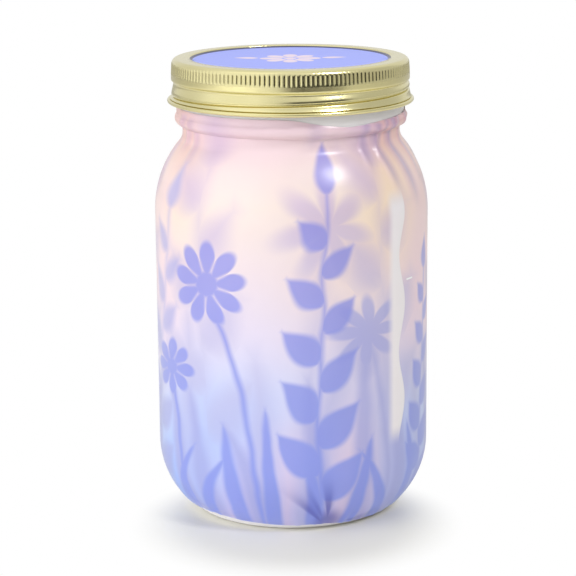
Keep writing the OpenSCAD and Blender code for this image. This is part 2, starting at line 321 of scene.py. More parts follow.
def mix(tree, share, first, second):
    """The first colour, with a share of the second in it."""
    return add(tree, "ShaderNodeMix", {"Factor": share, 6: first, 7: second}, data_type="RGBA").outputs[2]


def bump(tree, shader, height, distance):
    """Relief on a shader, distance metres deep."""
    node = add(tree, "ShaderNodeBump", {"Height": height, "Distance": distance, "Strength": 1.0})
    put(tree, shader.inputs["Normal"], node.outputs[0])


# The print on the film: sprigs, daisies and grass in silhouette over a pastel sky

PRINT_R = 49.6
# The print repeats twice round the jar
PRINT_W = math.pi * PRINT_R
# The height of the sky, and its colours by their share of it
SKY_H = 165.0
# Its darker rose at the top, by the neck, is partly print and partly painted shade of the neck's folds
SKY = ((0.00, (138, 166, 250)), (0.12, (162, 189, 253)), (0.27, (190, 204, 250)), (0.42, (222, 212, 236)),
       (0.57, (244, 220, 214)), (0.72, (254, 228, 196)), (0.80, (252, 220, 198)), (0.87, (236, 192, 188)),
       (0.96, (210, 158, 166)))
# Where the sky turns lilac: away from the middle of the print, from one height and up to another
LILAC_SIDES = (36, 62)
LILAC_FROM = (40, 80)
LILAC_TO = (118, 138)
# The three layers of plants: sprigs (foot, lean, height, bend, leaf length and width, pitch, blur and leaf
# angle), daisies (foot, head, radius, petals, blur and flattening), and grass (count, lowest and highest
# blade, width, lean, blur and seed)
FAR = (
    (((-30, 10), -6, 122, 8, 34, 21, 33, 6.5, 42),
     ((30, 20), 6, 112, -8, 34, 22, 31, 7.0, 42),
     ((72, 6), 3, 112, 4, 32, 20, 32, 6.0, 42)),
    (((4, 0), (12, 112), 18, 7, 6.5, 1.0),),
    (6, 40, 92, 17, 20, 6.0, 9.0))
FAR_SHADES = ((0.0, (164, 176, 234)), (0.5, (190, 184, 222)), (0.85, (206, 178, 206)))
MIDDLE = (
    (((-70, 0), 6, 118, 6, 23, 13, 19, 2.8, 42),),
    (((40, 0), (27, 74), 15, 8, 2.4, 1.15),),
    (8, 34, 78, 10.5, 17, 2.6, 5.0))
NEAR = (
    (((12, 0), -4, 124, 9, 24, 14.5, 20, 1.4, 46),
     ((60, 0), -3, 92, 8, 18, 11, 15, 1.3, 42)),
    (((-14, 0), (-31, 92), 16.5, 9, 1.4, 1.1),
     ((-46, 0), (-52, 58), 12.5, 8, 1.3, 1.2)),
    (10, 22, 60, 8.0, 15, 1.3, 21.0))
NEAR_SHADES = ((0.0, (126, 144, 232)), (0.35, (136, 146, 228)), (0.9, (146, 140, 216)))


def turned_field(across, up, degrees):
    """Two Fields in axes that lean to the right by an angle."""
    s, c = math.sin(math.radians(degrees)), math.cos(math.radians(degrees))
    return across * c - up * s, across * s + up * c


def from_point(u, v, at):
    """The way from a point of the print; u wraps round."""
    return (u - at[0]).op("WRAP", PRINT_W / 2, -PRINT_W / 2), v - at[1]


def leaf(along, off, length, width):
    """How far a point lies inside a leaf: full low down, then pointed."""
    t = (along / length).at_least(0.0).at_most(1.0)
    half = ((t ** 0.7) * math.pi).op("SINE") * (width * 0.5)
    return (half - abs(off)).at_most(length - along).at_most(along)


def sprig(u, v, foot, lean, height, bend, leaf_l, leaf_w, pitch, blur, leaf_a):
    """A stem with leaves on both sides in turn, shorter towards the top, and one leaf at its tip."""
    across, up = turned_field(*from_point(u, v, foot), lean)
    rise = (up / height).at_least(0.0)
    across = across - rise * rise * bend
    stem = ((1.2 - rise * 0.8) - abs(across)).at_most(up).at_most(height - up)
    side = across.op("SIGN")
    q = abs(across)
    sine, cosine = math.sin(math.radians(leaf_a)), math.cos(math.radians(leaf_a))
    node_up = up - q * (cosine / sine) + side * (pitch / 4)
    turn = (node_up / pitch).op("ROUND").at_least(1.0).at_most(math.floor(height / pitch - 0.3))
    off = (node_up - turn * pitch) * sine
    along = q / sine + (node_up - turn * pitch) * cosine
    share = 1.0 - turn * (pitch / height * 0.5)
    leaves = leaf(along, off, share * leaf_l, share * leaf_w)
    tip = leaf(up - (height - 1), across, leaf_l * 0.7, leaf_w * 0.6)
    return leaves.at_least(tip).at_least(stem).smooth(-blur, blur)


def daisy(u, v, foot, head, radius, petals, blur, squash):
    """A daisy on a bent stem; a blurred one has no seams between its petals."""
    across, up = from_point(u, v, head)
    up = up * squash
    far = (across * across + up * up).op("SQRT")
    wave = abs((across.op("ARCTAN2", up) * (petals / 2)).op("COSINE"))
    sharp = blur < 2
    flower = ((wave ** (0.5 if sharp else 1.2)) * 0.6 + 0.4) * radius - far
    if sharp:
        seam = wave * far * (math.pi / petals) - 0.3
        flower = flower.at_most(seam.at_least(radius * 0.32 - far))
    across, up = from_point(u, v, foot)
    rise = head[1] - foot[1]
    t = (up / rise).at_least(0.0).at_most(1.0)
    run = head[0] - foot[0]
    stem = 1.0 - abs(across - t * t * run)
    stem = stem.at_most(up).at_most(rise - up)
    return flower.at_least(stem).smooth(-blur, blur)


def grass(u, v, count, low, high, width, lean, blur, seed):
    """Blades that stand side by side, each with a height and a lean of its own."""
    tree = u.tree
    spacing = PRINT_W / count
    place = u.op("WRAP", PRINT_W / 2, -PRINT_W / 2) / spacing
    blades = None
    for shift in (-1, 0, 1):
        cell = (place + shift).op("FLOOR")
        chance = add(tree, "ShaderNodeTexWhiteNoise", {"W": cell.op("WRAP", count, 0.0) + seed},
                     noise_dimensions="1D")
        parts = add(tree, "ShaderNodeSeparateColor", {0: chance.outputs["Color"]}).outputs
        height = Field(tree, parts[0]) * (high - low) + low
        t = v / height
        bow = (Field(tree, parts[1]) - 0.5) * (2 * lean) * t * t
        aside = (Field(tree, parts[2]) - 0.5) * (0.5 * spacing)
        off = abs((place - cell - 0.5) * spacing - (bow + aside))
        blade = (1.0 - t).at_least(0.0) ** 0.5 * (width / 2) - off
        blade = blade.at_most((height - v) * 0.5)
        blades = blades.at_least(blade) if blades else blade
    return blades.smooth(-blur, blur)


def most(*fields):
    """The highest of some Fields."""
    top = fields[0]
    for field in fields[1:]:
        top = top.at_least(field)
    return top


def layer(u, v, sprigs, daisies, blades):
    """1 in the plants of one layer of the print."""
    fields = [sprig(u, v, *row) for row in sprigs] + [daisy(u, v, *row) for row in daisies]
    return most(*fields, grass(u, v, *blades))


def pastel_sky(tree, u, v):
    """The colour behind the plants: blue low down, then lilac, cream and rose, in soft drifts."""
    mist = clouds(tree, 16.0, 1.0)
    drift = clouds(tree, 11.0, 0.0, (1, 1, 0.7))
    sky = ramp(tree, v / SKY_H + (mist - 0.5) * 0.2, SKY)
    side = abs(u.op("WRAP", PRINT_W / 2, -PRINT_W / 2)).smooth(*LILAC_SIDES) * v.smooth(*LILAC_FROM)
    sky = mix(tree, side * (1.0 - v.smooth(*LILAC_TO)) * 0.5, sky, srgb(234, 204, 234))
    sky = mix(tree, drift.smooth(0.52, 0.72) * 0.5, sky, srgb(250, 204, 206))
    return mix(tree, (1.0 - drift.smooth(0.3, 0.46)) * 0.4, sky, srgb(214, 208, 238))


def planted(tree, u, v, sky):
    """The sky with the three layers of plants over it, the nearest one sharpest and darkest."""
    sway = clouds(tree, 22.0, 1.0) - 0.5
    fine = clouds(tree, 70.0, 1.0) - 0.5
    u = u + sway * 9.0 + fine * 2.4
    v = v + sway * 6.0
    colour = mix(tree, layer(u, v, *FAR) * 0.75, sky, ramp(tree, v / SKY_H, FAR_SHADES))
    colour = mix(tree, layer(u, v, *MIDDLE) * 0.7, colour, srgb(156, 160, 222))
    return mix(tree, layer(u, v, *NEAR) * 0.9, colour, ramp(tree, v / SKY_H, NEAR_SHADES))


def printed_film():
    """Satin film: the print, painted shade in the foot's creases and beside the neck's folds, a clear strip
    with one wavy edge, and fine streaks of tension.
    """
    made, tree, shader = material("printed_film", Roughness=0.3, Specular_IOR_Level=0.5, Coat_Weight=0.25,
                                  Coat_Roughness=0.2, Subsurface_Weight=0.3, Subsurface_Scale=0.0015)
    shader.inputs["Subsurface Radius"].default_value = (1.0, 1.0, 1.0)
    u, v = unrolled(tree, PRINT_R)
    colour = planted(tree, u, v, pastel_sky(tree, u, v))
    # Painted shade: dark navy in the gathered creases at the foot
    colour = mix(tree, gathered(u, v) * 0.75, colour, srgb(62, 66, 168))
    # Painted shade: violet beside the neck's folds
    colour = mix(tree, creased(u, v) * 0.6, colour, srgb(148, 128, 190))
    clear = window(u, v)
    colour = mix(tree, clear, colour, srgb(255, 249, 254))
    colour = mix(tree, fill_tick(u, v), colour, srgb(246, 246, 250))
    put(tree, shader.inputs["Base Color"], colour)
    put(tree, shader.inputs["Alpha"], 1.0 - clear * 0.1)
    streaks = clouds(tree, 60.0, 3.0, (1, 1, 0.12))
    bump(tree, shader, streaks, 0.00012)
    put(tree, shader.inputs["Roughness"], streaks * 0.12 + 0.24)
    return made


# Painted shade in the creases at the foot: the place they run to, the radii of their core and reach, and
# their top
GATHER_AT = (14.5, 3.0)
GATHER_CORE = (2, 9)
GATHER_REACH = (8, 30)
GATHER_TOP = (6, 24)


def gathered(u, v):
    """1 in the creases of the gathered film, where painted shade darkens the print."""
    across, up = from_point(u, v, GATHER_AT)
    far = (across * across + up * up).op("SQRT")
    turn = across.op("ARCTAN2", abs(up) + 2.0)
    wave = add(u.tree, "ShaderNodeTexNoise", {"W": turn * 1.9 + 1.7, "Scale": 1.0, "Detail": 1.0},
               noise_dimensions="1D")
    streak = Field(u.tree, wave.outputs["Fac"]).smooth(0.5, 0.68)
    streak = streak.at_least(1.0 - far.smooth(*GATHER_CORE))
    return streak * (1.0 - far.smooth(*GATHER_REACH)) * (1.0 - up.smooth(*GATHER_TOP))


# The height of a fold of the neck at which the painted shade beside it on the print is full
FULL_FOLD = 0.7


def creased(u, v):
    """1 beside the folds of the neck, where painted shade of the folds darkens the print."""
    bearing = u / (PRINT_R * math.pi / 180)
    marks = []
    for at, lean, low, high, half, tall in NECK_FOLDS:
        aside = (bearing - (v - low) * lean - (at + half)).op("WRAP", 180.0, -180.0)
        ends = v.smooth(low, (low + high) / 2) * (1.0 - v.smooth(high - 1, high + 1))
        marks.append((1.0 - abs(aside) / (3 * half)).smooth(0, 1) * ends * (tall / FULL_FOLD))
    return most(*marks)


# The fill mark beside the clear strip: a plain tick
TICK = (47.4, 51.4)
TICK_Z = 90.0
TICK_H = 0.6


def fill_tick(u, v):
    """1 in the tick of the fill mark."""
    inside = (u - TICK[0]).at_most(TICK[1] - u).at_most((TICK_H / 2) - abs(v - TICK_Z))
    return inside.smooth(-0.1, 0.1)


# The clear strip: its soft edge, its wavy cut edge, and its ends
STRIP_SOFT = (36.5, 40.5)
STRIP_EDGE = 44.85
STRIP_WAVE = 1.75
STRIP_PERIOD = 35.0
STRIP_CREST_Z = 117.0
STRIP_ENDS = ((30, 38), (116, 124))


def window(u, v):
    """1 in the clear strip, 0 elsewhere."""
    wave = ((v - STRIP_CREST_Z) * (2 * math.pi / STRIP_PERIOD)).op("COSINE") * STRIP_WAVE + STRIP_EDGE
    right = (wave - u).smooth(0.0, 0.3)
    left = u.smooth(*STRIP_SOFT)
    low = v.smooth(*STRIP_ENDS[0])
    high = 1.0 - v.smooth(*STRIP_ENDS[1])
    return right * left * low * high


# Painted light: the thick glass of the bead and the standing ring is made milky and bright between these
# heights
BEAD_PAINTED_LIGHT = 0.75
BEAD_PAINTED_LIGHT_FROM = (BEAD_Z - 3, BEAD_Z + 1)
BEAD_PAINTED_LIGHT_TO = (BAND_LOW - 0.6, BAND_LOW + 1.5)
RING_PAINTED_LIGHT = 0.95
RING_PAINTED_LIGHT_TO = (3.5, 6.5)


def clear_glass():
    """Clear glass with faint waves, made milky at the bead and the standing ring as painted light."""
    made, tree, shader = material("clear_glass", Roughness=0.02, IOR=1.5, Transmission_Weight=1.0)
    shader.inputs["Base Color"].default_value = (0.98, 0.965, 0.985, 1.0)
    z = place_mm(tree)[2]
    # Painted light: the bead and the standing ring let less light through and look milky white
    bead = z.smooth(*BEAD_PAINTED_LIGHT_FROM) * (1.0 - z.smooth(*BEAD_PAINTED_LIGHT_TO)) * BEAD_PAINTED_LIGHT
    ring = (1.0 - z.smooth(*RING_PAINTED_LIGHT_TO)) * RING_PAINTED_LIGHT
    put(tree, shader.inputs["Transmission Weight"], 1.0 - bead.at_least(ring))
    bump(tree, shader, clouds(tree, 45.0, 2.0), 0.0002)
    return made


def gold_band():
    """Pale gold lacquer on rolled tinplate."""
    made, tree, shader = material("gold_band", Metallic=1.0, Roughness=0.15)
    tone = clouds(tree, 60.0, 3.0)
    put(tree, shader.inputs["Base Color"], mix(tree, tone, srgb(222, 213, 158), srgb(230, 222, 172)))
    wear = clouds(tree, 900.0, 3.0, (1, 1, 0.3))
    put(tree, shader.inputs["Roughness"], wear * 0.1 + 0.15)
    bump(tree, shader, tone, 0.00005)
    return made


def printed_lid():
    """White-coated tinplate, with a printed ring round the label and a dark painted shadow line at its
    edge, the shade of the gap under the band's rim.
    """
    made, tree, shader = material("white_tinplate", Roughness=0.35, Coat_Weight=0.2)
    tone = clouds(tree, 40.0, 2.0)
    white = mix(tree, tone * 0.3, srgb(240, 240, 242), srgb(226, 224, 220))
    x, y, z = place_mm(tree)
    far = (x * x + y * y).op("SQRT")
    upper = z.smooth(LID_TOP - PANEL_DROP - 0.1, LID_TOP - PANEL_DROP - 0.05)
    colour = mix(tree, upper * (1.0 - far.smooth(PRINTED_R, PRINTED_R + 0.1)), white, srgb(166, 178, 255))
    # Painted shadow: a dark navy line on the step round the panel
    edge = upper * far.smooth(PANEL_R - 0.2, PANEL_R) * (1.0 - far.smooth(PRINTED_R - 0.2, PRINTED_R))
    put(tree, shader.inputs["Base Color"], mix(tree, edge, colour, srgb(44, 46, 96)))
    bump(tree, shader, clouds(tree, 700.0, 2.0), 0.00002)
    return made


# The label's daisy: its petals, the radius of its eye, and where the leaves beside it start
LABEL_PETALS = 8
EYE_R = 2.2
LABEL_LEAF_X = 11.5


def label_card():
    """Printed card on the lid: plain periwinkle with a pale daisy between two leaves."""
    made, tree, shader = material("label_card", Roughness=0.5)
    x, y = place_mm(tree)[:2]
    up = y * 0.9
    far = (x * x + up * up).op("SQRT")
    wave = abs((x.op("ARCTAN2", up) * (LABEL_PETALS / 2)).op("COSINE"))
    seam = wave * far * (math.pi / LABEL_PETALS) - 0.35
    petals = ((wave ** 0.5) * 6.0 + 5.0 - far).at_most(seam)
    eye = EYE_R - far
    leaves = leaf(abs(x) - LABEL_LEAF_X, up - abs(x) * 0.12, 9.0, 4.2)
    share = most(petals.at_most(far - (EYE_R + 0.8)), eye, leaves).smooth(-0.15, 0.15)
    grain = clouds(tree, 500.0, 3.0)
    field = mix(tree, grain * 0.5, srgb(160, 172, 255), srgb(172, 183, 255))
    put(tree, shader.inputs["Base Color"], mix(tree, share, field, srgb(240, 222, 238)))
    bump(tree, shader, grain, 0.00003)
    return made


def plain(name, first, second, scale, roughness, depth, detail=4.0, stretch=(1, 1, 1)):
    """A matt material with two tones and a grain."""
    made, tree, shader = material(name, Roughness=roughness)
    grain = clouds(tree, scale, detail, stretch)
    put(tree, shader.inputs["Base Color"], mix(tree, grain.smooth(0.35, 0.65), first, second))
    bump(tree, shader, grain, depth)
    return made


def brushed_steel():
    """Rolled steel sheet with fine lines along it."""
    made, tree, shader = material("brushed_steel", Metallic=1.0, Roughness=0.28)
    lines = clouds(tree, 260.0, 3.0, (1, 1, 8))
    put(tree, shader.inputs["Base Color"], mix(tree, lines, srgb(188, 190, 193), srgb(214, 215, 216)))
    put(tree, shader.inputs["Roughness"], lines * 0.2 + 0.18)
    bump(tree, shader, lines, 0.00004)
    return made


# The jar and its film

def jar_side(out, start, top):
    """The jar's outside from the heel at an angle up to a height, moved outwards."""
    flank = math.radians(FLANK)
    flank_x = BEAD[0] + (BEAD_ROUND + out) * math.cos(flank) - NECK_RAD - out
    flank_z = BEAD_Z - (BEAD_ROUND + out) * math.sin(flank) - flank_x / math.tan(flank)
    return path(
        arc(HEEL, HEEL_R + out, start, 0, 24),
        arc(SHOULDER, SHOULDER_R + out, 0, SHOULDER_ANGLE, 20),
        arc(NECK, NECK_ROUND - out, 180 + SHOULDER_ANGLE, 180, 8),
        (NECK_RAD + out, flank_z),
        arc(BEAD, BEAD_ROUND + out, -FLANK, math.degrees(math.acos(1 - BEAD_OUT / BEAD_ROUND)), 12),
        (FINISH_R + out, top))


# The glass thread: its lowest point, length and run-out in turns, width, and first bearing
THREAD_LOW = 149.5
THREAD_TURNS = 1.3
THREAD_END = 0.06
THREAD_W = 1.5
THREAD_FROM = 130.0


def thread_height(bearing, height):
    """How far the glass thread stands out at each point of the finish."""
    out = np.zeros(np.broadcast(bearing, height).shape)
    for turn in range(math.ceil(THREAD_TURNS)):
        run = (bearing - THREAD_FROM) % 360 / 360 + turn
        middle = THREAD_LOW + LEAD * run
        ends = ease(run, 0, THREAD_END) * (1 - ease(run, THREAD_TURNS - THREAD_END, THREAD_TURNS))
        out = np.maximum(out, CREST * ends * np.exp(-(np.abs(height - middle) / THREAD_W * 1.35) ** 4))
    return out


def glass_outline():
    """The jar's section from its underside's middle, up the outside and down the inside."""
    inner_r = HEEL_R - GLASS_T
    floor_x = HEEL_X + math.sqrt((inner_r - FLOOR_ROUND) ** 2 - (HEEL_Z - FLOOR_Z - FLOOR_ROUND) ** 2)
    floor_c = (floor_x, FLOOR_Z + FLOOR_ROUND)
    floor_a = math.degrees(math.atan2(floor_c[1] - HEEL_Z, floor_x - HEEL_X))
    side = finer(jar_side(0, FOOT_ANGLE, JAR_H - LIP_OUT), 4.0)
    body = side[side[:, 1] <= BEAD_Z + BEAD_ROUND]
    finish = finer(path(body[-1], side[-1]), 0.3)
    return path(
        (0, PUNT_H), (FOOT_R - RING_W - 2 * PUNT_H, PUNT_H), (FOOT_R - RING_W, 0),
        arc((FOOT_R, FOOT_ROUND), FOOT_ROUND, -90, FOOT_ANGLE, 8),
        body[1:], finish[1:],
        arc((FINISH_R - LIP_OUT, JAR_H - LIP_OUT), LIP_OUT, 0, 90, 6)[1:],
        arc((MOUTH_R + LIP_IN, JAR_H - LIP_IN), LIP_IN, 90, 180, 5),
        (MOUTH_R, BEAD_Z), (NECK_RAD - GLASS_T, NECK_Z),
        arc(NECK, NECK_ROUND + GLASS_T, 180, 180 + SHOULDER_ANGLE, 8)[1:],
        arc(SHOULDER, SHOULDER_R - GLASS_T, SHOULDER_ANGLE, 0, 20),
        arc(HEEL, inner_r, 0, floor_a, 24),
        arc(floor_c, FLOOR_ROUND, floor_a, -90, 8)[1:],
        (0, FLOOR_Z))


def make_glass():
    def warp(radius, height, bearing):
        finish = (height > BEAD_Z + BEAD_ROUND) & (height < JAR_H - LIP_OUT) & (radius > FINISH_R - 0.01)
        return radius + np.where(finish, thread_height(bearing, height), 0), height

    jar = turned("glass_jar_clear", glass_outline(), 288, warp)
    dress(jar, 50, "jar", "clear_glass", clear_glass(), "glass_jar")


# The film's upper edge: how far it lies below its highest point, by bearing
EDGE_DIPS = ((-180, 0.0), (-5, 0.0), (2, 0.3), (15, 2.2), (29, 3.4), (52, 2.5), (80, 2.0), (110, 0.6),
             (140, 0.0), (180, 0.0))
# The film's lower edge: how far it lies above its lowest point, by bearing
EDGE_RISES = ((-180, 0.8), (-110, 0.4), (-70, 2.6), (-45, 3.0), (-20, 1.6), (0, 1.0), (14, 1.5), (24, 0.6),
              (50, 0.2), (75, 1.2), (120, 0.5), (180, 0.8))
# Over how many mesh columns to each side the film's edges are smoothed
EDGE_BLUR = 5
# Below this height the film follows its lower edge
HEEL_TOP = 22.0
FILM_TOP = BAND_LOW - 1.2
FILM_SIDES = 540
# Folds of the film at the neck: bearing, lean in degrees a millimetre, lowest and highest point, half
# width in degrees and height
NECK_FOLDS = (
    (39, -0.1, 128, 148, 1.6, 0.4),
    (45, 0.5, 131, 147, 1.5, 0.55),
    (52, -0.25, 118, 146, 1.8, 0.6),
    (58, 0.45, 134, 148, 1.4, 0.5),
    (64, -0.2, 112, 147, 2.2, 0.7),
    (73, 0.15, 120, 148, 2.0, 0.5),
    (96, -0.2, 126, 148, 2.4, 0.4),
    (124, 0.1, 130, 148, 2.6, 0.35),
    (163, -0.1, 124, 148, 2.4, 0.4),
    (-142, 0.15, 130, 148, 2.2, 0.35),
    (-104, -0.15, 126, 148, 2.4, 0.4),
    (-71, 0.2, 132, 148, 2.2, 0.35),
    (-58, -0.1, 128, 147, 1.8, 0.3),
    (8, 0.2, 136, 148, 2.4, 0.22))
# Pleats at the foot: how many, their half width, the bearing where the film is gathered, its spread, and
# how much the pleats lean to it
PLEATS = 44
PLEAT_HALF = 1.7
GATHER = 17.0
GATHER_SPREAD = 38
GATHER_LEAN = 0.012


def ridge(bearing, height, at, lean, low, high, half, tall):
    """The height of one fold at each point of the film."""
    aside = (bearing - at - lean * (height - low) + 180) % 360 - 180
    ends = ease(height, low, low + 0.4 * (high - low)) * (1 - ease(height, high - 3, high + 1))
    return tall * ends * np.exp(-(aside / half) ** 2)


def film_folds(bearing, height):
    """How far the film stands off the glass: folds at the neck, and pleats gathered at the foot."""
    fold = sum(ridge(bearing, height, *row) for row in NECK_FOLDS)
    for i in range(PLEATS):
        at = 360 * i / PLEATS + 3 * math.sin(2.4 * i)
        near = math.exp(-(((at - GATHER + 180) % 360 - 180) / GATHER_SPREAD) ** 2)
        lean = GATHER_LEAN * (GATHER - at) if near > 0.4 else 0
        top = 7 + 5 * math.sin(1.7 * i) + 9 * near
        aside = (bearing - at - lean * (12 - height) + 180) % 360 - 180
        pleat = (1 - ease(height, FILM_LOW, top)) * np.exp(-(aside / PLEAT_HALF) ** 2)
        fold = fold + (0.16 + 0.4 * near) * pleat
    return fold


def make_film():
    start = -math.degrees(math.asin((HEEL_Z - FILM_LOW) / HEEL_R))
    outer = finer(jar_side(FILM_GAP + FILM_T, start, FILM_TOP), 2.0)
    inner = finer(jar_side(FILM_GAP, start, FILM_TOP), 3.0)

    def along_edge(table, bearing):
        edge = np.interp(bearing, *zip(*table))
        shifts = range(-EDGE_BLUR, EDGE_BLUR + 1)
        return sum(np.roll(edge, shift, axis=-1) for shift in shifts) / len(shifts)

    def warp(radius, height, bearing):
        dips = along_edge(EDGE_DIPS, bearing) / (FILM_TOP - NECK_Z)
        rises = along_edge(EDGE_RISES, bearing) / (HEEL_TOP - FILM_LOW)
        moved = np.where(height > NECK_Z, height - (height - NECK_Z) * dips, height)
        moved = np.where(height < HEEL_TOP, height + (HEEL_TOP - height) * rises, moved)
        outside = np.arange(len(radius))[:, None] < len(outer)
        followed = np.where(outside, np.interp(moved, outer[:, 1], outer[:, 0]),
                            np.interp(moved, inner[:, 1], inner[:, 0]))
        radius = np.where((height > NECK_Z) | (height < HEEL_TOP), followed, radius)
        return radius + film_folds(bearing, moved), moved

    film = turned("film_sleeve_print", np.vstack([outer, inner[::-1]]), FILM_SIDES, warp)
    dress(film, 50, "jar", "printed_film", printed_film(), "film_sleeve")


# The screw band

BAND_R = 43.0
BAND_T = 0.3
OPEN_R = 36.1
CORNER_R = 2.0
RIBS = 156
# Where each rib's points lie from groove to groove, and how deep they are
RIB_PLACES = (0.0, 0.15, 0.38, 0.62, 0.85)
RIB_DEPTHS = (0.24, 0.03, 0.0, 0.0, 0.03)
KNURL = (160.5, 164.2)
BAND_SIDES = RIBS * len(RIB_PLACES)
# The sharp step climbs as a screw this far to both sides of the front, with what lies near it
STEP_SPAN = 105.0
STEP_FADES = ((151.8, 153.6), (155.2, 158.2))
# The knurled wall leans in by this much at its top
KNURL_LEAN = 0.2
# The wall below the knurl at the front: (height, radius)
WALL = ((160.3, 43.0), (158.55, 43.0), (158.3, 42.93), (158.05, 42.65), (157.75, 42.32), (157.45, 42.22),
        (157.1, 42.26), (155.5, 42.84), (155.1, 42.9), (154.85, 42.94), (154.62, 42.95), (154.52, 42.88),
        (154.44, 42.6), (154.4, 42.15), (154.3, 41.97), (153.95, 41.97), (153.74, 42.15), (153.62, 42.5),
        (153.5, 42.86), (152.9, 43.08), (152.3, 43.36), (151.98, 43.58), (151.86, 43.5), (151.78, 43.2))
CREASE = (43.1, 151.66)
CURL_R = 0.75
CURL_X = 43.75
# The bright cut edge of the opening
RIM = 0.2


def make_band():
    bearing = ((np.arange(RIBS)[:, None] + RIB_PLACES) * (360 / RIBS) - 180).reshape(1, -1)
    curl_c = (CURL_X, BAND_LOW + CURL_R)
    corner = arc((BAND_R - KNURL_LEAN - CORNER_R, BAND_TOP - CORNER_R), CORNER_R, 90, 0, 8)
    top = path((OPEN_R, BAND_TOP - RIM), (OPEN_R + RIM, BAND_TOP), (OPEN_R + 2, BAND_TOP), corner)
    steps = np.linspace(0, 1, 10)[1:]
    knurl = np.column_stack([BAND_R - KNURL_LEAN * (1 - steps),
                             BAND_TOP - CORNER_R + (KNURL[0] - BAND_TOP + CORNER_R) * steps])
    wall = np.array(WALL)[:, ::-1]
    curl = arc(curl_c, CURL_R, 118, -150, 18)
    outer = distinct(path(top, knurl, finer(wall, 0.35), CREASE, curl))
    inner_line = path(top[2:3], corner, finer(wall, 0.5), CREASE, curl)
    inner = shifted(inner_line, BAND_T)[::-1]
    inner = path(inner, (OPEN_R, BAND_TOP - BAND_T))
    outline = np.vstack([outer, inner])
    radius = np.repeat(outline[:, :1], BAND_SIDES, axis=1)
    height = np.repeat(outline[:, 1:], BAND_SIDES, axis=1)
    # Ribs on the upper wall, only on the outside
    outside = (np.arange(len(outline)) < len(outer))[:, None]
    zone = ease(height, KNURL[0], KNURL[0] + 0.5) * (1 - ease(height, KNURL[1], KNURL[1] + 0.8))
    radius = radius - np.where(outside & (radius > BAND_R - 1), zone * np.tile(RIB_DEPTHS, RIBS), 0)
    # The step's climb runs out at the back
    inside_span = np.clip(bearing, -STEP_SPAN, STEP_SPAN)
    back = (np.abs(bearing) - STEP_SPAN) / (180 - STEP_SPAN)
    climb = LEAD / 360 * inside_span * (1 - ease(back, 0, 1))
    share = ease(height, *STEP_FADES[0]) * (1 - ease(height, *STEP_FADES[1]))
    height = height + share * climb
    verts = ring_points(radius, height, bearing).reshape(-1, 3)
    band = new_object("screw_band_gold", verts, grid_faces(len(outline), BAND_SIDES, True, True))
    dress(band, 60, "band", "gold_band", gold_band(), "screw_band")


# The lid, its seal and its label

LID_T = 0.3
LID_R = 42.2
LID_CORNER = 1.7
PANEL_R = 35.3
PANEL_DROP = 0.5
STEP_W = 0.6
# The print on the lid reaches this far
PRINTED_R = 37.0


def make_lid():
    """A flat lid with a sunk panel and a turned-down rim."""
    panel = LID_TOP - PANEL_DROP
    line = path((0, panel), (PANEL_R - 0.3, panel), (PANEL_R, panel + 0.05), (PANEL_R + STEP_W, LID_TOP),
                arc((LID_R - LID_CORNER, LID_TOP - LID_CORNER), LID_CORNER, 90, 0, 8), (LID_R, LID_LOW))
    below = shifted(line, LID_T)[::-1]
    below[-1, 0] = 0
    lid = turned("lid_disc_white", np.vstack([line, below]), 192)
    dress(lid, 40, "lid", "white_tinplate", printed_lid(), "lid_disc")


def make_seal():
    """The sealing ring, rounded at its edges."""
    low, high = box_mm("lid_seal")
    outer_r, inner_r, edge = high.x, MOUTH_R + 0.3, 0.2
    ring = path(arc((outer_r - edge, low.z + edge), edge, -90, 0, 4),
                arc((outer_r - edge, high.z - edge), edge, 0, 90, 4),
                arc((inner_r + edge, high.z - edge), edge, 90, 180, 4),
                arc((inner_r + edge, low.z + edge), edge, 180, 270, 4))
    seal = turned("lid_seal_rubber", ring, 192)
    dress(seal, 50, "lid", "seal_rubber",
          plain("seal_rubber", srgb(196, 74, 60), srgb(180, 64, 52), 300.0, 0.6, 0.00002), "lid_seal")


def make_label():
    """The printed card on the lid's panel."""
    low, high = box_mm("lid_label")
    card_r, edge = high.x, 0.06
    card = path((0, low.z), (card_r - edge, low.z), (card_r, low.z + edge), (card_r, high.z - edge),
                (card_r - edge, high.z), (card_r - 6, high.z), (0, high.z))
    label = turned("lid_label_card", card, 192)
    dress(label, 40, "lid", "label_paper", label_card(), "lid_label")


# The wick and the growing kit

def strip(name, line, thick, width, columns, edge=0.0):
    """A sheet that follows a line in the Y-Z plane, width wide on X, with slightly uneven edges."""
    outline = np.vstack([shifted(line, -thick / 2), shifted(line, thick / 2)[::-1]])
    rows = len(outline)
    verts = []
    for i, (y, z) in enumerate(outline):
        near = min(i, rows - 1 - i)
        for j in range(columns):
            x = width * (j / (columns - 1) - 0.5)
            if j in (0, columns - 1):
                x *= 1 - edge * (0.5 + 0.5 * noise.noise(Vector((near * 0.9, j, 3.0))))
            verts.append((x, y, z))
    faces = grid_faces(rows, columns, True, False)
    for i in range(len(line) - 1):
        a, b, c, d = (row * columns for row in (i, i + 1, rows - 2 - i, rows - 1 - i))
        faces.append((a, b, c, d))
        faces.append(tuple(corner + columns - 1 for corner in (d, c, b, a)))
    obj = new_object(name, verts, faces)
    tidy = bmesh.new()
    tidy.from_mesh(obj.data)
    bmesh.ops.recalc_face_normals(tidy, faces=tidy.faces)
    tidy.to_mesh(obj.data)
    tidy.free()
    return obj


# The wick: thickness, radius of its upper bends, half the way between its layers, and inset from the CAD
WICK_T = 0.94
WICK_BEND = 0.7
WICK_HALF = 0.5
WICK_INSET = 0.2


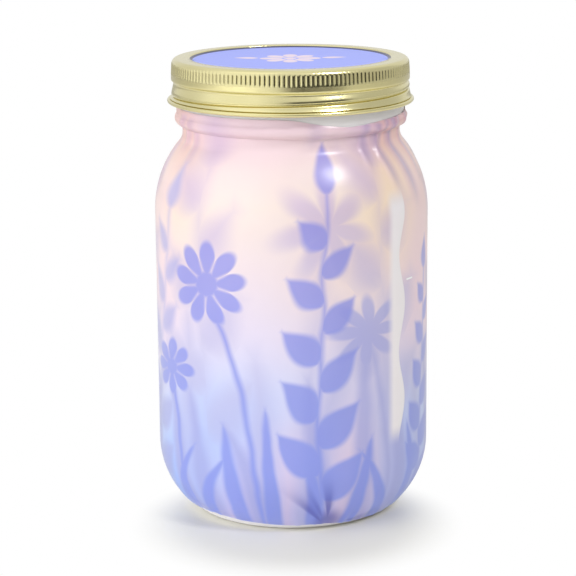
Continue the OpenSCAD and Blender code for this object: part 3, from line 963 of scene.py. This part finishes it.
def make_wick():
    """A felt strip that hangs double from the pot's floor, with its ends spread over it."""
    low, high = box_mm("wick")
    width = high.x - low.x - WICK_INSET
    top = high.z - WICK_HALF
    end = low.z + 2 * WICK_HALF
    down = path((WICK_INSET - high.y, top),
                arc((-WICK_HALF - WICK_BEND, top - WICK_BEND), WICK_BEND, 90, 0, 6), (-WICK_HALF, end))
    line = path(down, arc((0, end), WICK_HALF, 180, 360, 10), (down * (-1, 1))[::-1])
    line = finer(distinct(line), 3.0)
    wick = strip("wick_felt", line, WICK_T, width, 7, 0.05)
    dress(wick, 50, "pot", "wick_felt",
          plain("wick_felt", srgb(238, 234, 222), srgb(222, 216, 200), 900.0, 0.95, 0.0003), "wick")


def make_coir():
    """A pressed disc of coconut fibre, rough all over, with a dimple for the seeds."""
    radius = box_mm("coir_disc")[1].x
    bevel, dimple_r, dimple_h, fibre = 1.5, 4.5, 3.0, 0.45
    t = np.linspace(1, 0, 8)[:, None]
    dimple = np.hstack([dimple_r * t, COIR_TOP - dimple_h * (1 - t ** 2)])
    outline = finer(path((0, COIR_LOW), (radius - bevel, COIR_LOW), (radius, COIR_LOW + bevel),
                         (radius, COIR_TOP - bevel), (radius - bevel, COIR_TOP), dimple), 1.2)

    def warp(distance, height, bearing):
        distance, height = distance.copy(), height.copy()
        middle = (COIR_LOW + COIR_TOP) / 2
        for i in range(distance.shape[0]):
            for j in range(distance.shape[1]):
                turn = math.radians(bearing[0, j])
                far = distance[i, j]
                at = Vector((far * math.sin(turn), far * math.cos(turn), height[i, j]))
                rough = fibre * (0.5 + 0.5 * noise.fractal(at * 0.9, 1.0, 2.0, 3))
                distance[i, j] *= 1 - rough / radius
                height[i, j] -= math.copysign(rough, height[i, j] - middle) * 0.8
        return distance, height

    disc = turned("coir_disc_pressed", outline, 150, warp)
    dress(disc, 60, "pot", "coir", plain("coir", srgb(112, 78, 50), srgb(62, 41, 26), 420.0, 0.95, 0.0008,
                                     6.0, (1, 1, 2.5)), "coir_disc")


def slab(name, across, along, low, high, columns, rows):
    """A closed pad: along and across are its size, and low and high give its two faces at (x, y)."""
    xs = np.linspace(-along / 2, along / 2, columns)
    ys = across / 2 * np.sin(np.linspace(-math.pi / 2, math.pi / 2, rows))
    verts = [(x, y, face(x, y)) for face in (high, low) for x in xs for y in ys]
    count = columns * rows
    faces = grid_faces(columns, rows, False, False)
    faces += [tuple(corner + count for corner in face[::-1]) for face in faces]
    rim = ([j for j in range(rows)] + [i * rows + rows - 1 for i in range(1, columns)]
           + [count - 1 - j for j in range(1, rows)] + [i * rows for i in range(columns - 2, 0, -1)])
    faces += [(a, b, b + count, a + count) for a, b in zip(rim, rim[1:] + rim[:1])]
    return new_object(name, verts, faces)


def crown(x, y, along, across, power_x, power_y):
    """1 in the middle of a pad and 0 at its sides, with a steeper fall there for a higher power."""
    by_x = max(0.0, 1 - abs(2 * x / along) ** power_x)
    by_y = max(0.0, 1 - abs(2 * y / across) ** power_y)
    return (by_x * by_y) ** 0.5


# A sachet: its crimped ends, half its seam, its lumps and creases, and the crimp's teeth
CRIMP = 4.0
SEAM_HALF = 0.25
LUMP = 0.35
PUCKER = 1.2
TOOTH_H = 0.12
TOOTH_RATE = 5.2


def make_sachet(node, slot, look, seed):
    """A sachet of granules: flat where it lies, lumpy above, creased towards its crimped ends."""
    low, high = box_mm(node)
    along, across = high.x - low.x, high.y - low.y
    filled = along - 2 * CRIMP
    middle, half = (low.z + high.z) / 2, (high.z - low.z) / 2

    def teeth(x):
        return TOOTH_H * math.sin(TOOTH_RATE * x) if abs(x) > filled / 2 + 0.4 else 0.0

    def over(x, y):
        body = crown(x, y, filled, across, 3.0, 4.5)
        rough = noise.noise(Vector((x * 0.3, y * 0.3, seed))) * 0.5 + 0.5
        crease = abs(noise.noise(Vector((x * 0.07, y * 0.5, seed + 5)))) * abs(2 * x / filled) ** 2
        return middle + teeth(x) + SEAM_HALF + body * (half - SEAM_HALF - LUMP * rough - PUCKER * crease)

    def under(x, y):
        body = crown(x, y, filled, across, 6.0, 8.0)
        return middle + teeth(x) - SEAM_HALF - body * (half - SEAM_HALF)

    pad = slab(node + "_filled", across, along, under, over, 90, 40)
    dress(pad, 40, "kit", slot, look, node)


# The packet: its flap's length and height, its height at the rim, and the gap between its sheets
FLAP = 10.0
FLAP_H = 0.26
PACKET_RIM = 0.5
PAPER_GAP = 0.02


def make_packet():
    """The seed packet, a little crowned, and the flap that closes it."""
    low, high = box_mm("seed_packet")
    along, across = high.x - low.x, high.y - low.y
    thick = high.z - low.z - FLAP_H - 2 * PAPER_GAP

    def over(x, y):
        return low.z + PACKET_RIM + (thick - PACKET_RIM) * crown(x, y, along, across, 6, 6)

    packet = slab("seed_packet_paper", across, along, lambda x, y: low.z + PAPER_GAP, over, 40, 26)
    look = plain("packet_paper", srgb(222, 214, 240), srgb(212, 203, 233), 500.0, 0.8, 0.0001)
    dress(packet, 40, "kit", "packet_paper", look, "seed_packet")
    middle = across / 2 - FLAP / 2
    closing = slab("seed_packet_flap", FLAP, along, lambda x, y: over(x, y + middle) + PAPER_GAP,
                   lambda x, y: over(x, y + middle) + FLAP_H, 40, 10)
    for vert in closing.data.vertices:
        vert.co.y += middle * MM
    dress(closing, 40, "kit", "packet_paper", look)


# The leaflet: panels, thickness, and inset from the CAD solid above and below
PANELS = 4
PAPER_T = 0.22
PAPER_INSET = 0.125


def make_leaflet():
    """A sheet folded to and fro, with a round bend at each fold."""
    low, high = box_mm("leaflet")
    pitch = (high.z - low.z - 2 * PAPER_INSET) / (PANELS - 1)
    half = (high.y - low.y) / 2 - pitch / 2 - PAPER_T / 2
    rows = []
    for i in range(PANELS):
        level = low.z + PAPER_INSET + i * pitch
        way = 1 if i % 2 == 0 else -1
        rows += [(-way * half, level), (0.0, level), (way * half, level)]
        if i < PANELS - 1:
            turn = arc((way * half, level + pitch / 2), pitch / 2, -90, 90, 8)[1:-1]
            rows += [(way * half + way * (y - way * half), z) for y, z in turn]
    line = np.array(rows)
    leaflet = strip("leaflet_paper", line, PAPER_T, high.x - low.x, 12)
    dress(leaflet, 30, "kit", "leaflet_paper",
          plain("leaflet_paper", srgb(244, 242, 236), srgb(234, 231, 223), 500.0, 0.85, 0.0001), "leaflet")


def finish_pot():
    """The net pot is the CAD node itself, in steel."""
    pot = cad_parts["net_pot"]
    pot.data.materials.clear()
    pot.data.materials.append(brushed_steel())


# The studio

# The camera: its way from its aim and degrees above it, lens, height of the aim, shift and roll
CAMERA_FAR = 787.0
CAMERA_UP = 12.85
CAMERA_LENS = 133.5
CAMERA_AIM = 81.8
CAMERA_SHIFT = (-4.0 / 576, -3.3 / 576)
CAMERA_ROLL = -0.45


def make_camera():
    lens = bpy.data.cameras.new("camera")
    lens.lens = CAMERA_LENS
    lens.sensor_width = 36.0
    lens.shift_x, lens.shift_y = CAMERA_SHIFT
    lens.clip_start = 0.05
    camera = bpy.data.objects.new("camera", lens)
    rise = math.radians(CAMERA_UP)
    aim = Vector((0, 0, CAMERA_AIM * MM))
    camera.location = aim + Vector((0, -math.cos(rise), math.sin(rise))) * CAMERA_FAR * MM
    look = (aim - camera.location).to_track_quat("-Z", "Y").to_matrix().to_4x4()
    spin = Matrix.Rotation(math.radians(CAMERA_ROLL), 4, "Z")
    camera.matrix_world = Matrix.Translation(camera.location) @ look @ spin
    bpy.context.scene.collection.objects.link(camera)
    bpy.context.scene.camera = camera


# Softboxes: name, place, size, power, and whether metal and gloss show them
LAMPS = (
    ("left_box", (-0.88, -0.72, 0.52), (1.1, 0.9), 11.0, False),
    ("front_box", (0.72, -0.66, 1.08), (0.3, 0.3), 6.5, True),
    ("top_box", (0.0, 0.5, 1.2), (0.9, 0.7), 1.2, False))
LAMP_AIM = Vector((0, 0, 0.1))


def soft_light(name, place, size, power, glossy):
    """A softbox that faces the jar."""
    lamp = bpy.data.lights.new(name, "AREA")
    lamp.shape = "RECTANGLE"
    lamp.size, lamp.size_y = size
    lamp.energy = power
    lamp_object = bpy.data.objects.new(name, lamp)
    lamp_object.visible_glossy = glossy
    lamp_object.location = place
    lamp_object.rotation_euler = (LAMP_AIM - Vector(place)).to_track_quat("-Z", "Y").to_euler()
    bpy.context.scene.collection.objects.link(lamp_object)


def rays_of(tree):
    """1 for what the camera sees, straight or through glass, and 1 for what metal and gloss see."""
    rays = add(tree, "ShaderNodeLightPath").outputs
    camera, through, glossy = (Field(tree, rays[f"Is {kind} Ray"])
                               for kind in ("Camera", "Transmission", "Glossy"))
    return camera.at_least(through), glossy


FLOOR_SIZE = 6000.0
# The table's front edge lies behind the camera
FLOOR_FRONT = -850.0
# Where the shadow under the jar fades into the white background: its middle and its two radii
SHADOW_AT = (1.0, -30.0)
SHADOW_FADE = (34, 62)
# The floor's colour for the light that it sends on to the jar, and as the camera sees it
FLOOR_LIT = (0.94, 0.925, 0.86, 1)
FLOOR_SEEN = (0.79, 0.78, 0.7, 1)


def make_floor():
    """A pale table that keeps the jar's shadow and is white around it."""
    front = [(-FLOOR_SIZE, FLOOR_FRONT, 0), (FLOOR_SIZE, FLOOR_FRONT, 0)]
    back = [(FLOOR_SIZE, FLOOR_SIZE, 0), (-FLOOR_SIZE, FLOOR_SIZE, 0)]
    floor = new_object("floor", front + back, [(0, 1, 2, 3)])
    made, tree, shader = material("floor", Roughness=0.6, Specular_IOR_Level=0.2)
    x, y = place_mm(tree)[:2]
    x = x - SHADOW_AT[0]
    y = y - SHADOW_AT[1]
    far = (x * x + y * y).op("SQRT").smooth(*SHADOW_FADE)
    seen = rays_of(tree)[0]
    put(tree, shader.inputs["Base Color"], mix(tree, seen, FLOOR_LIT, FLOOR_SEEN))
    white = add(tree, "ShaderNodeEmission", {"Color": (1, 1, 1, 1), "Strength": 1.0})
    both = add(tree, "ShaderNodeMixShader", {0: far * seen, 1: shader.outputs[0], 2: white.outputs[0]})
    put(tree, tree.nodes["Material Output"].inputs["Surface"], both.outputs[0])
    floor.data.materials.append(made)


# What metal sees of the room: a bright left wall, the dark behind the camera and a dimmer right wall, each
# between two bearings with soft edges; the heights of the dark's end and of the ceiling, where 1 is
# overhead; and the light of each
BRIGHT_SIDES = (-95.0, -22.0, 16.0)
DARK_SIDES = (-5.0, 58.0, 10.0)
DIM_SIDES = (62.0, 130.0, 12.0)
DARK_TOP = (0.1, 0.42)
CEILING = (0.5, 0.85)
ROOM_LIGHT = 0.46
GLOSS_LIGHT = 0.84
GLOSS_BRIGHT = 0.3
GLOSS_DARK = 0.82
GLOSS_DIM = 0.22
GLOSS_TOP = 0.14


def make_world():
    """An even pale room; to the camera and through glass it is white, and metal sees its walls."""
    world = bpy.data.worlds.new("studio")
    bpy.context.scene.world = world
    world.use_nodes = True
    tree = world.node_tree
    tree.nodes["Background"].inputs["Color"].default_value = (1, 1, 1, 1)
    seen, glossy = rays_of(tree)
    split = add(tree, "ShaderNodeSeparateXYZ", {0: add(tree, "ShaderNodeTexCoord").outputs["Generated"]})
    x, y, z = (Field(tree, socket) for socket in split.outputs)
    bearing = x.op("ARCTAN2", y * -1) * (180 / math.pi)

    def wall(first, last, soft):
        return bearing.smooth(first - soft, first + soft) * (1.0 - bearing.smooth(last - soft, last + soft))

    dark = wall(*DARK_SIDES) * (1.0 - z.smooth(*DARK_TOP))
    gloss = wall(*BRIGHT_SIDES) * GLOSS_BRIGHT - dark * GLOSS_DARK - wall(*DIM_SIDES) * GLOSS_DIM
    gloss = gloss + z.smooth(*CEILING) * GLOSS_TOP + (GLOSS_LIGHT - ROOM_LIGHT)
    even = seen * (1 - ROOM_LIGHT) + ROOM_LIGHT
    put(tree, tree.nodes["Background"].inputs["Strength"], even + glossy * gloss)


make_camera()
make_floor()
make_world()
for lamp in LAMPS:
    soft_light(*lamp)
bpy.context.scene.view_settings.view_transform = "Standard"
make_glass()
make_film()
make_band()
make_lid()
make_seal()
make_label()
make_wick()
make_coir()
make_sachet("carbon_sachet", "carbon_sachet",
            plain("sachet_paper", srgb(232, 232, 228), srgb(212, 212, 206), 700.0, 0.9, 0.0002), 1.0)
make_sachet("plant_food_sachet", "food_sachet",
            plain("food_foil", srgb(206, 220, 200), srgb(194, 210, 188), 80.0, 0.35, 0.0002), 9.0)
make_packet()
make_leaflet()
finish_pot()
